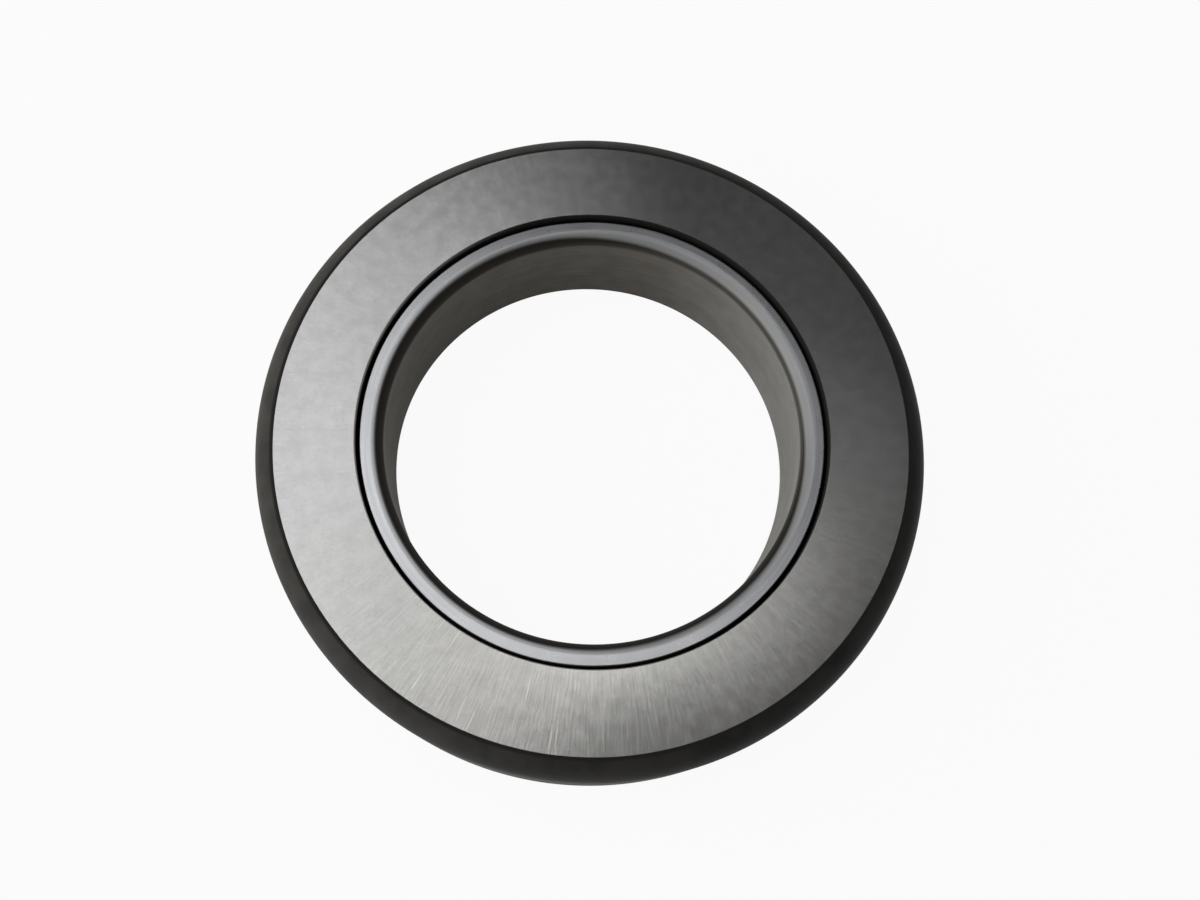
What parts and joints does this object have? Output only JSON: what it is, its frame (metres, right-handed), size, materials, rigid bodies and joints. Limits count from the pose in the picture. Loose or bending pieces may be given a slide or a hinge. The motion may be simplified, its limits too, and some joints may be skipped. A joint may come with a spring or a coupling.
{
  "type": "clutch release bearing",
  "caption": "Angular-contact clutch release bearing: a turning contact ring with a ground face runs on caged balls around a still inner ring with a plain bore.",
  "frame": {"origin": "on the bore axis, in the plane of the inner ring's rear seat", "axes": "+Z along the bore axis, from the rear seat towards the ground contact face"},
  "size_m": [0.09, 0.09, 0.018],
  "materials": {
    "contact_steel": "hardened steel, contact face ground bright, the rest in its dark heat-treated finish",
    "inner_steel": "hardened steel, lip turned bright, bore and rear a matt brownish grey",
    "cage_polymer": "moulded glass-filled polyamide",
    "shield_steel": "pressed cold-rolled sheet",
    "ball_steel": "polished bearing steel"
  },
  "bodies": {
    "inner": {"inner_ring": "inner_steel"},
    "contact": {"contact_ring": "contact_steel", "rear_shield": "shield_steel"},
    "cage": {"ball_cage": "cage_polymer"},
    "ball_01": {"ball_01": "ball_steel"},
    "ball_02": {"ball_02": "ball_steel"},
    "ball_03": {"ball_03": "ball_steel"},
    "ball_04": {"ball_04": "ball_steel"},
    "ball_05": {"ball_05": "ball_steel"},
    "ball_06": {"ball_06": "ball_steel"},
    "ball_07": {"ball_07": "ball_steel"},
    "ball_08": {"ball_08": "ball_steel"},
    "ball_09": {"ball_09": "ball_steel"},
    "ball_10": {"ball_10": "ball_steel"},
    "ball_11": {"ball_11": "ball_steel"},
    "ball_12": {"ball_12": "ball_steel"},
    "ball_13": {"ball_13": "ball_steel"},
    "ball_14": {"ball_14": "ball_steel"},
    "ball_15": {"ball_15": "ball_steel"},
    "ball_16": {"ball_16": "ball_steel"},
    "ball_17": {"ball_17": "ball_steel"},
    "ball_18": {"ball_18": "ball_steel"},
    "ball_19": {"ball_19": "ball_steel"},
    "ball_20": {"ball_20": "ball_steel"}
  },
  "joints": [
    {"name": "contact_spin", "type": "hinge", "parent": "inner", "child": "contact", "pos_m": [0, 0, 0], "axis": [0, 0, 1], "continuous": true},
    {"name": "cage_orbit", "type": "hinge", "parent": "inner", "child": "cage", "pos_m": [0, 0, 0], "axis": [0, 0, 1], "continuous": true},
    {"name": "ball_01_roll", "type": "hinge", "parent": "cage", "child": "ball_01", "pos_m": [0.03628, 0, 0.00837], "axis": [-0.7071, 0, 0.7071], "continuous": true},
    {"name": "ball_02_roll", "type": "hinge", "parent": "cage", "child": "ball_02", "pos_m": [0.03451, 0.01121, 0.00837], "axis": [-0.6725, -0.2185, 0.7071], "continuous": true},
    {"name": "ball_03_roll", "type": "hinge", "parent": "cage", "child": "ball_03", "pos_m": [0.02935, 0.02133, 0.00837], "axis": [-0.5721, -0.4156, 0.7071], "continuous": true},
    {"name": "ball_04_roll", "type": "hinge", "parent": "cage", "child": "ball_04", "pos_m": [0.02133, 0.02935, 0.00837], "axis": [-0.4156, -0.5721, 0.7071], "continuous": true},
    {"name": "ball_05_roll", "type": "hinge", "parent": "cage", "child": "ball_05", "pos_m": [0.01121, 0.03451, 0.00837], "axis": [-0.2185, -0.6725, 0.7071], "continuous": true},
    {"name": "ball_06_roll", "type": "hinge", "parent": "cage", "child": "ball_06", "pos_m": [0, 0.03628, 0.00837], "axis": [0, -0.7071, 0.7071], "continuous": true},
    {"name": "ball_07_roll", "type": "hinge", "parent": "cage", "child": "ball_07", "pos_m": [-0.01121, 0.03451, 0.00837], "axis": [0.2185, -0.6725, 0.7071], "continuous": true},
    {"name": "ball_08_roll", "type": "hinge", "parent": "cage", "child": "ball_08", "pos_m": [-0.02133, 0.02935, 0.00837], "axis": [0.4156, -0.5721, 0.7071], "continuous": true},
    {"name": "ball_09_roll", "type": "hinge", "parent": "cage", "child": "ball_09", "pos_m": [-0.02935, 0.02133, 0.00837], "axis": [0.5721, -0.4156, 0.7071], "continuous": true},
    {"name": "ball_10_roll", "type": "hinge", "parent": "cage", "child": "ball_10", "pos_m": [-0.03451, 0.01121, 0.00837], "axis": [0.6725, -0.2185, 0.7071], "continuous": true},
    {"name": "ball_11_roll", "type": "hinge", "parent": "cage", "child": "ball_11", "pos_m": [-0.03628, 0, 0.00837], "axis": [0.7071, 0, 0.7071], "continuous": true},
    {"name": "ball_12_roll", "type": "hinge", "parent": "cage", "child": "ball_12", "pos_m": [-0.03451, -0.01121, 0.00837], "axis": [0.6725, 0.2185, 0.7071], "continuous": true},
    {"name": "ball_13_roll", "type": "hinge", "parent": "cage", "child": "ball_13", "pos_m": [-0.02935, -0.02133, 0.00837], "axis": [0.5721, 0.4156, 0.7071], "continuous": true},
    {"name": "ball_14_roll", "type": "hinge", "parent": "cage", "child": "ball_14", "pos_m": [-0.02133, -0.02935, 0.00837], "axis": [0.4156, 0.5721, 0.7071], "continuous": true},
    {"name": "ball_15_roll", "type": "hinge", "parent": "cage", "child": "ball_15", "pos_m": [-0.01121, -0.03451, 0.00837], "axis": [0.2185, 0.6725, 0.7071], "continuous": true},
    {"name": "ball_16_roll", "type": "hinge", "parent": "cage", "child": "ball_16", "pos_m": [0, -0.03628, 0.00837], "axis": [0, 0.7071, 0.7071], "continuous": true},
    {"name": "ball_17_roll", "type": "hinge", "parent": "cage", "child": "ball_17", "pos_m": [0.01121, -0.03451, 0.00837], "axis": [-0.2185, 0.6725, 0.7071], "continuous": true},
    {"name": "ball_18_roll", "type": "hinge", "parent": "cage", "child": "ball_18", "pos_m": [0.02133, -0.02935, 0.00837], "axis": [-0.4156, 0.5721, 0.7071], "continuous": true},
    {"name": "ball_19_roll", "type": "hinge", "parent": "cage", "child": "ball_19", "pos_m": [0.02935, -0.02133, 0.00837], "axis": [-0.5721, 0.4156, 0.7071], "continuous": true},
    {"name": "ball_20_roll", "type": "hinge", "parent": "cage", "child": "ball_20", "pos_m": [0.03451, -0.01121, 0.00837], "axis": [-0.6725, 0.2185, 0.7071], "continuous": true}
  ],
  "couplings": [
    {"joint": "cage_orbit", "follows": "contact_spin", "ratio": 0.54254},
    {"joint": "ball_01_roll", "follows": "contact_spin", "ratio": 4.1257},
    {"joint": "ball_02_roll", "follows": "contact_spin", "ratio": 4.1257},
    {"joint": "ball_03_roll", "follows": "contact_spin", "ratio": 4.1257},
    {"joint": "ball_04_roll", "follows": "contact_spin", "ratio": 4.1257},
    {"joint": "ball_05_roll", "follows": "contact_spin", "ratio": 4.1257},
    {"joint": "ball_06_roll", "follows": "contact_spin", "ratio": 4.1257},
    {"joint": "ball_07_roll", "follows": "contact_spin", "ratio": 4.1257},
    {"joint": "ball_08_roll", "follows": "contact_spin", "ratio": 4.1257},
    {"joint": "ball_09_roll", "follows": "contact_spin", "ratio": 4.1257},
    {"joint": "ball_10_roll", "follows": "contact_spin", "ratio": 4.1257},
    {"joint": "ball_11_roll", "follows": "contact_spin", "ratio": 4.1257},
    {"joint": "ball_12_roll", "follows": "contact_spin", "ratio": 4.1257},
    {"joint": "ball_13_roll", "follows": "contact_spin", "ratio": 4.1257},
    {"joint": "ball_14_roll", "follows": "contact_spin", "ratio": 4.1257},
    {"joint": "ball_15_roll", "follows": "contact_spin", "ratio": 4.1257},
    {"joint": "ball_16_roll", "follows": "contact_spin", "ratio": 4.1257},
    {"joint": "ball_17_roll", "follows": "contact_spin", "ratio": 4.1257},
    {"joint": "ball_18_roll", "follows": "contact_spin", "ratio": 4.1257},
    {"joint": "ball_19_roll", "follows": "contact_spin", "ratio": 4.1257},
    {"joint": "ball_20_roll", "follows": "contact_spin", "ratio": 4.1257}
  ]
}
